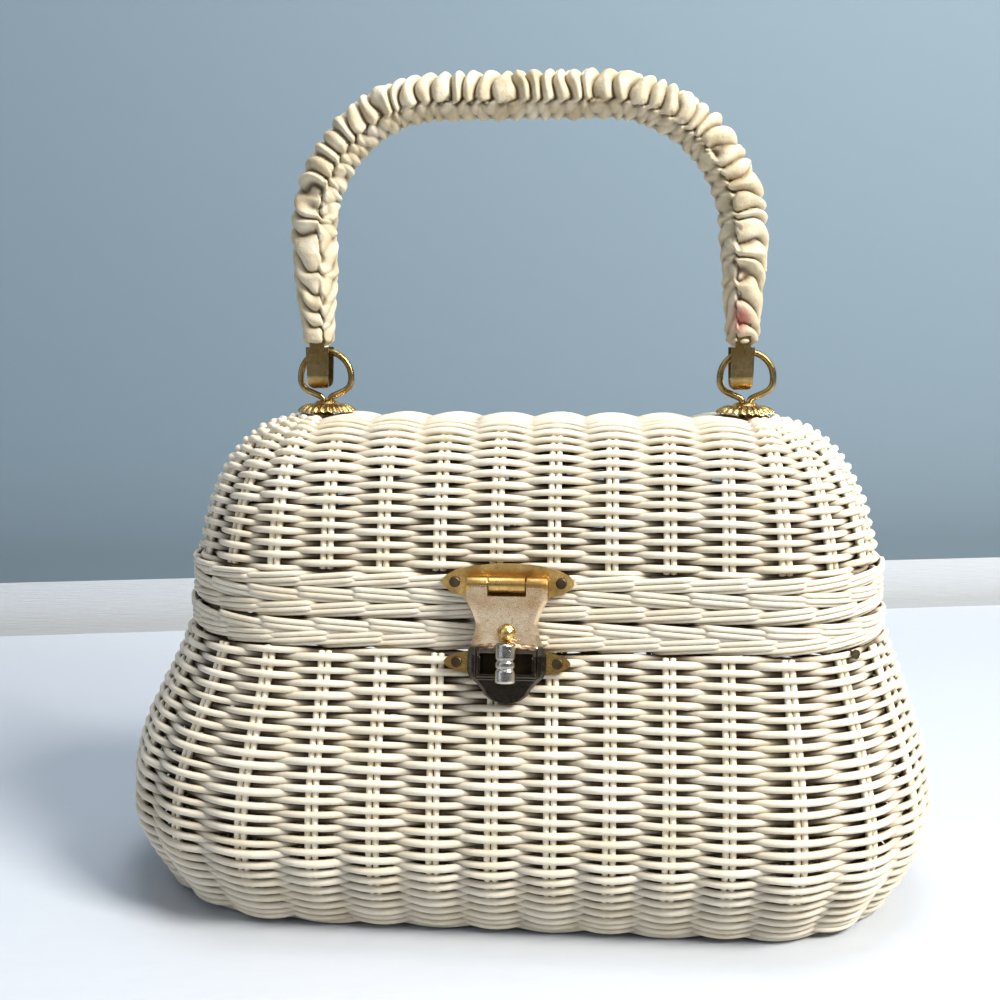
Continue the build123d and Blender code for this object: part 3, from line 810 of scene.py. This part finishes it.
def soft_noise(rows: int, columns: int, cells_s: int, cells_a: int, rng: np.random.Generator) -> np.ndarray:
    """Smooth random field from -1 to 1, closed round its columns.

    Args:
        rows: Points along the sleeve.
        columns: Points round the sleeve.
        cells_s: Random cells along.
        cells_a: Random cells round.
        rng: Source of randomness.

    Returns:
        An array of rows by columns.
    """
    grid = rng.uniform(-1, 1, (cells_s + 2, cells_a))
    x = np.linspace(0, cells_s, rows)
    y = np.linspace(0, cells_a, columns, endpoint=False)
    xi, yi = np.floor(x).astype(int), np.floor(y).astype(int)
    fx, fy = x - xi, y - yi
    fx, fy = (fx * fx * (3 - 2 * fx))[:, None], (fy * fy * (3 - 2 * fy))[None]
    a, b = grid[xi][:, yi], grid[xi + 1][:, yi]
    c, d = grid[xi][:, (yi + 1) % cells_a], grid[xi + 1][:, (yi + 1) % cells_a]
    return (a * (1 - fx) + b * fx) * (1 - fy) + (c * (1 - fx) + d * fx) * fy


@dataclass
class Sleeve:
    """Gathered leather sleeve over the handle's core, stitched along its inner front side."""

    steps: int = 780
    sides: int = 100
    seed: int = 5
    fold: float = 5.0  # from one fold to the next along the grip
    lean: float = 1.8  # how far the grip's top leans to the left

    def middle(self) -> tuple[np.ndarray, np.ndarray, np.ndarray]:
        """Middle line, outward direction in the arch's plane and distance along."""
        leg = HANDLE_TOP - HANDLE_CORNER - SLEEVE_END
        bend = HANDLE_CORNER * math.pi / 2
        top = 2 * (HANDLE_HALF - HANDLE_CORNER)
        s = np.linspace(0, 2 * leg + 2 * bend + top, self.steps)
        x, z, ox, oz = (np.zeros_like(s) for _ in range(4))
        for i, d in enumerate(s):
            if d < leg:
                x[i], z[i], ox[i], oz[i] = -HANDLE_HALF, SLEEVE_END + d, -1, 0
            elif d < leg + bend:
                a = (d - leg) / HANDLE_CORNER
                x[i] = -HANDLE_HALF + HANDLE_CORNER - HANDLE_CORNER * math.cos(a)
                z[i] = HANDLE_TOP - HANDLE_CORNER + HANDLE_CORNER * math.sin(a)
                ox[i], oz[i] = -math.cos(a), math.sin(a)
            elif d < leg + bend + top:
                x[i], z[i], ox[i], oz[i] = d - leg - bend - top / 2, HANDLE_TOP, 0, 1
            elif d < leg + 2 * bend + top:
                a = (d - leg - bend - top) / HANDLE_CORNER
                x[i] = HANDLE_HALF - HANDLE_CORNER + HANDLE_CORNER * math.sin(a)
                z[i] = HANDLE_TOP - HANDLE_CORNER + HANDLE_CORNER * math.cos(a)
                ox[i], oz[i] = math.sin(a), math.cos(a)
            else:
                down = d - 2 * bend - top - leg
                x[i], z[i], ox[i], oz[i] = HANDLE_HALF, HANDLE_TOP - HANDLE_CORNER - down, 1, 0
        x += HANDLE_X - self.lean * np.clip((z - SLEEVE_END) / (HANDLE_TOP - SLEEVE_END), 0, 1) ** 1.2
        zero = np.zeros_like(s)
        return np.stack([x, zero, z], 1), np.stack([ox, zero, oz], 1), s

    def make(self) -> None:
        """Gather the sleeve."""
        rng = np.random.default_rng(self.seed)
        line, out, s = self.middle()
        front = np.array([0.0, -1.0, 0.0])
        total = s[-1]
        a = np.linspace(0, 2 * np.pi, self.sides, endpoint=False)[None]
        leg = HANDLE_TOP - HANDLE_CORNER - SLEEVE_END
        on_leg = 1 - smoothstep(leg * 0.7, leg + 25, np.minimum(s, total - s))
        pitch = self.fold * (1 + 0.42 * on_leg)
        turns = np.concatenate([[0], np.cumsum(np.diff(s) / pitch[1:])])[:, None]
        drift = soft_noise(self.steps, self.sides, 34, 4, rng)
        branch = soft_noise(self.steps, self.sides, 60, 3, rng)
        inner = smoothstep(1.86, 2.10, a) * (1 - smoothstep(4.3, 4.9, a))
        slant = 0.9 * np.sin(a) * on_leg[:, None] + 0.22 * np.sin(a)
        phase = turns + 0.42 * drift + 0.44 * branch * smoothstep(0.2, 1.4, a) + slant + 0.5 * inner
        wave = np.abs(np.sin(np.pi * phase))
        hump = wave ** 0.62
        curl = np.abs(np.sin(np.pi * (phase + 0.9 * (a - 3.0))))
        hump = hump * (1 - inner) + (0.25 + 0.75 * (0.6 * wave + 0.4 * curl) ** 0.8) * inner * 0.85
        bulge = 1 + 0.16 * soft_noise(self.steps, self.sides, 55, 5, rng)
        seam_at = 1.98 + 0.16 * np.sin(2 * np.pi * turns) + 0.06 * drift
        seam = np.exp(-((a - seam_at) / 0.075) ** 2) * (0.6 + 0.4 * branch)
        grip = 1 - 0.30 * (1 - smoothstep(0, 34, np.minimum(s, total - s)))[:, None]
        end = smoothstep(0, 2.6, np.minimum(s, total - s))[:, None]
        radius = (5.3 + 3.1 * hump * bulge - 1.1 * seam) * grip * (0.55 + 0.45 * end)
        normal = np.cos(a)[..., None] * out[:, None] + np.sin(a)[..., None] * front
        points = line[:, None] + radius[..., None] * normal
        # depth: painted shade in the creases between gathers, along the seam and on the inner side.
        depth = np.clip(1.35 * (1 - hump) ** 1.15 + 0.55 * seam + 0.10 * inner, 0, 1)
        spot = points - np.array([HANDLE_X + HANDLE_HALF - 1.0, -7.0, 197.0])
        stain = 0.8 * np.exp(-(spot[..., 0] / 3.2) ** 2 - (spot[..., 1] / 6) ** 2 - (spot[..., 2] / 4.5) ** 2)
        pot = MeshPot("handle_gathers")
        quads = grid_quads(self.steps, self.sides, False, True)[:, ::-1]
        pot.add(points.reshape(-1, 3), quads, depth=depth.ravel(), stain=stain.ravel())
        pot.make("handle", LEATHER, "handle_sleeve")


# Clasp -------------------------------------------------------------------------------------


@dataclass
class Hasp:
    """Hinged hasp: a waisted plate, bent to the flare, with a raised boss round the knob's window."""

    tongue: float = 12.6  # catch down to the tip
    bend_rise: float = 2.2  # catch up to the bend
    window: tuple[float, float] = (8.1, 3.4)  # half width and half height
    boss: tuple[float, float] = (9.3, 4.7)
    boss_arch: float = 0.9
    boss_rise: float = 1.6
    thickness: float = 1.1
    knuckle: float = 2.5
    knuckle_span: tuple[float, float] = (5.9, 12.7)
    knuckle_room: float = 2.9  # how far below the pin the plate starts between the knuckles

    def half_width(self, drop: np.ndarray) -> np.ndarray:
        """Half width of the plate at a distance below the pin, measured along the plate."""
        bend = PIN[2] - BEND_Z
        end = bend + self.bend_rise + self.tongue
        keys = [0, 4.6, 8.4, 11.8, 15.5, 19.0, bend, bend + 4.6, bend + 6.6]
        keys += [end - short for short in (6.0, 4.2, 2.4, 1.0, 0.3, 0)]
        widths = [12.7, 12.6, 10.7, 9.6, 10.1, 11.3, 12.3, 12.3, 11.6, 9.2, 7.6, 6.6, 4.6, 2.7, 0.05]
        return np.interp(drop, keys, widths)

    def make(self) -> None:
        """Make the plate, its knuckles and give it thickness."""
        bend = PIN[2] - BEND_Z
        catch = bend + self.bend_rise / math.cos(LEAN)
        drop = np.unique(np.concatenate([
            np.linspace(0, catch - self.window[1], 56),
            np.linspace(catch - self.window[1], catch + self.window[1], 22),
            np.linspace(catch + self.window[1], catch + self.tongue, 34),
        ]))
        inner = 0.65  # share of the half width at which a column follows the window's side
        share = np.unique(np.concatenate([
            np.linspace(-1, -inner, 16), np.linspace(-inner, inner, 47), np.linspace(inner, 1, 16),
        ]))
        half = self.half_width(drop)[:, None]
        knee = np.minimum(self.window[0], inner * half)
        size = np.abs(share)[None]
        outer = knee + (size - inner) / (1 - inner) * (half - knee)
        x = np.where(size <= inner, size / inner * knee, outer) * np.sign(share)
        down = np.broadcast_to((drop - catch)[:, None], x.shape)
        low = drop[:, None] > bend
        upper = np.array([CLASP_X, HASP_FRONT, PIN[2]]) - np.array([0, 0, 1.0]) * drop[:, None, None]
        base = np.where(low[..., None], SHIELD - SHIELD_UP * down[..., None], upper)
        boss_x, boss_z = self.boss
        arch = boss_z + self.boss_arch * np.cos(np.clip(x / boss_x, -1, 1) * np.pi / 2)
        over = np.maximum(np.abs(x) - boss_x, np.where(down < 0, -down - arch, down - boss_z))
        lift = self.boss_rise * smoothstep(0.55, -0.35, over)
        curl = -0.5 * smoothstep(0.8, 1.0, np.abs(x) / np.maximum(half, 3)) ** 2
        out = np.where(low[..., None], SHIELD_OUT, np.array([0, -1.0, 0]))
        points = base + out * (lift + curl)[..., None]
        points[..., 0] += x
        quads = grid_quads(len(drop), len(share), False, False)
        middle_x = np.abs(x.ravel()[quads].mean(1))
        middle_down = np.abs(down.ravel()[quads].mean(1))
        hole = (middle_x < self.window[0]) & (middle_down < self.window[1])
        middle_drop = drop[:, None].repeat(len(share), 1).ravel()[quads].mean(1)
        top = (middle_x < self.knuckle_span[0]) & (middle_drop < self.knuckle_room)
        pot = MeshPot("hasp_plate_bent")
        # dark: painted reflection, at 0.92 from a little above the bend down over the shield.
        dark = np.broadcast_to(0.92 * smoothstep(bend - 3.6, bend - 2.4, drop)[:, None], x.shape)
        pot.add(points.reshape(-1, 3), quads[~(hole | top)], dark=dark.ravel())
        made = pot.make("hasp", HASP, "hasp")
        solid = made.modifiers.new("thickness", "SOLIDIFY")
        solid.thickness, solid.offset = self.thickness * MM, -1
        edge = made.modifiers.new("edge", "BEVEL")
        edge.width, edge.segments, edge.limit_method = 0.22 * MM, 2, "ANGLE"
        knuckles = MeshPot("hasp_knuckles")
        for side in (-1, 1):
            lathe(knuckles, rounded(self.knuckle, *self.knuckle_span, 0.35), PIN, (side, 0, 0), 40)
        knuckles.make("hasp", BRASS)


def make_knob() -> None:
    """Make the turn knob: a grooved barrel across a post."""
    pot = MeshPot("turn_barrel")
    center = SHIELD + SHIELD_OUT * 5.2
    half = 6.15
    groove = []
    for y in np.linspace(-half, half, 60):
        edge = max(0.0, abs(y) - (half - 0.9)) / 0.9
        cut = sum(math.exp(-((y - place) / 0.42) ** 2) for place in (-1.6, 0.9))
        groove.append((3.25 - 0.9 * (1 - math.sqrt(max(0.0, 1 - edge * edge))) - 0.42 * cut, y))
    lathe(pot, [(0.01, -half), *groove, (0.01, half)], center, SHIELD_UP, 48)
    post = [(0.01, -4.2), (2.2, -4.2), (2.2, -1.6), (3.0, -1.5), (3.0, 3.2), (2.4, 5.0), (0.01, 5.0)]
    lathe(pot, post, SHIELD, SHIELD_OUT, 32)
    pot.make("knob", CHROME, "turn_knob")


def make_rosettes() -> None:
    """Make the two fluted rosettes under the rings."""
    for side, sign in (("left", -1), ("right", 1)):
        pot = MeshPot(f"rosette_fluted_{side}")
        turn = np.linspace(0, 2 * np.pi, 24 * 8, endpoint=False)[None]
        keys = np.array([
            (2.3, 3.1), (2.4, 3.6), (3.4, 3.7), (4.1, 3.2), (4.5, 2.8),
            (6.5, 2.4), (8.6, 1.6), (9.8, 0.7), (10.2, 0.15), (9.8, 0.0),
        ])
        fine = np.linspace(0, len(keys) - 1, 48)
        radius = np.interp(fine, np.arange(len(keys)), keys[:, 0])[:, None]
        z = np.interp(fine, np.arange(len(keys)), keys[:, 1])[:, None]
        flute = np.abs(np.cos(12 * turn)) ** 0.8 * smoothstep(4.2, 7.0, radius)
        radius = radius * (1 - 0.045 * (1 - flute) * smoothstep(7, 10, radius))
        z = z + (flute - 0.5) * 0.55 * smoothstep(4.2, 6.5, radius)
        x, y = sign * HALF_RUN + radius * np.cos(turn), radius * np.sin(turn)
        points = np.stack([x, y, LID_TOP + 0.1 + z], -1)
        pot.add(points.reshape(-1, 3), grid_quads(48, 24 * 8, False, True))
        pot.make("lid", BRIGHT, f"rosette_{side}")


def dress(nodes: dict[str, bpy.types.Object]) -> None:
    """Give every CAD node that stays visible its finish.

    Args:
        nodes: The CAD nodes by name.
    """
    rules = {
        "handle_ring": NICKEL, "handle_strap": NICKEL, "ring_washer": NICKEL,
        "hasp_plate_rivet": RIVET, "catch_rivet": RIVET, "border_nail": RIVET, "hinge_rivet": RIVET,
        "hasp_stud": BRIGHT, "hasp_pin": BRASS, "hasp_plate": BRASS, "catch_plate": CATCH, "hinge": BRASS,
    }
    for name, cad in nodes.items():
        if cad.hide_render:
            continue
        finish = next((f for key, f in rules.items() if name.startswith(key)), STAKE)
        cad.data.materials.clear()
        cad.data.materials.append(finish.material())
        log.info("%s: %s", name, finish.slot)


# Stage -------------------------------------------------------------------------------------


def make_stage() -> None:
    """Set the table and wall, the lights, the surroundings and the camera."""
    scene = bpy.context.scene
    scene.view_settings.view_transform = "Standard"
    scene.view_settings.look = "Medium High Contrast"
    along = math.radians(12)  # the table's back edge isn't square to the bag
    for name, size, place, tilt, colour, rough in (
        ("table", (4.0, 1.6), (0.166, -0.417, -0.0003), 0, "#BFC4CB", 0.42),
        ("skirting", (4.0, 0.07), (-0.005, 0.388, -0.005), 90, "#C3C9CF", 0.5),
        ("wall", (8.0, 4.0), (-0.020, 0.460, 1.0), 90, "#7B8C98", 0.8),
    ):
        bpy.ops.mesh.primitive_plane_add(size=1, location=place, rotation=(math.radians(tilt), 0, along))
        panel = bpy.context.object
        panel.name = name
        panel.scale = (*size, 1)
        paint = bpy.data.materials.new(name + "_paint")
        paint.use_nodes = True
        tree = paint.node_tree
        tone = ramp(tree, noise(tree, 400, 3), (0.3, colour), (0.7, colour))
        grain = bump(tree, noise(tree, 5, 3), 0.25)
        set_shader(tree, tree.nodes["Principled BSDF"], Base_Color=tone, Roughness=rough, Normal=grain)
        panel.data.materials.append(paint)
    lights = [
        ("key", (0.95, -0.55, 1.10), 0.45, 31.0, "#FFFAF2"),
        ("fill", (-1.1, -0.9, 0.7), 0.9, 2.6, "#E6EEFF"),
        ("top", (0.1, 0.1, 1.5), 0.7, 8.0, "#F4F8FF"),
    ]
    for name, place, size, power, colour in lights:
        lamp = bpy.data.lights.new(name, "AREA")
        lamp.size, lamp.energy, lamp.color = size, power, linear(colour)[:3]
        made = bpy.data.objects.new(name, lamp)
        made.location = place
        made.rotation_euler = (Vector((0, 0, 0.1)) - Vector(place)).to_track_quat("-Z", "Y").to_euler()
        scene.collection.objects.link(made)
    world = bpy.data.worlds.new("surroundings")
    world.use_nodes = True
    tree = world.node_tree
    seen = tree.nodes["Background"]
    seen.inputs["Color"].default_value = linear("#E6E3DE")
    seen.inputs["Strength"].default_value = 1.0
    ways = node(tree, "SeparateXYZ", Vector=node(tree, "TexCoord").outputs["Generated"])
    upward = math_node(tree, "MULTIPLY_ADD", ways.outputs[2], 0.5, 0.5)
    room = [(0.0, "#D8D4CC"), (0.49, "#8C8479"), (0.52, "#2E2B28"), (0.60, "#3A3632"), (0.72, "#F2F4F6")]
    height = ramp(tree, upward, *room)
    lit = node(tree, "Background", Color=height, Strength=0.5)
    chosen = node(tree, "MixShader", I0=node(tree, "LightPath").outputs["Is Camera Ray"])
    tree.links.new(lit.outputs[0], chosen.inputs[1])
    tree.links.new(seen.outputs[0], chosen.inputs[2])
    tree.links.new(chosen.outputs[0], tree.nodes["World Output"].inputs["Surface"])
    scene.world = world
    eye = bpy.data.cameras.new("camera")
    eye.lens, eye.sensor_width, eye.clip_start = 41.07, 36.0, 0.01
    camera = bpy.data.objects.new("camera", eye)
    right, up = (0.99655, 0.08295, -0.00007), (-0.01168, 0.14119, 0.98991)
    ahead = (-0.08212, 0.98650, -0.14168)
    turn = Matrix([[right[i], up[i], -ahead[i]] for i in range(3)]).to_4x4()
    camera.matrix_world = Matrix.Translation(Vector((21.55, -397.59, 191.09)) * MM) @ turn
    scene.collection.objects.link(camera)
    scene.camera = camera


def main() -> None:
    """Build the bag on the frame and set its stage."""
    logging.basicConfig(level=logging.INFO, format="%(name)s %(message)s")
    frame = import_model()
    make_shells()
    Sleeve().make()
    Hasp().make()
    make_knob()
    make_rosettes()
    dress(frame["nodes"])
    make_stage()


if __name__ == "__main__":
    main()
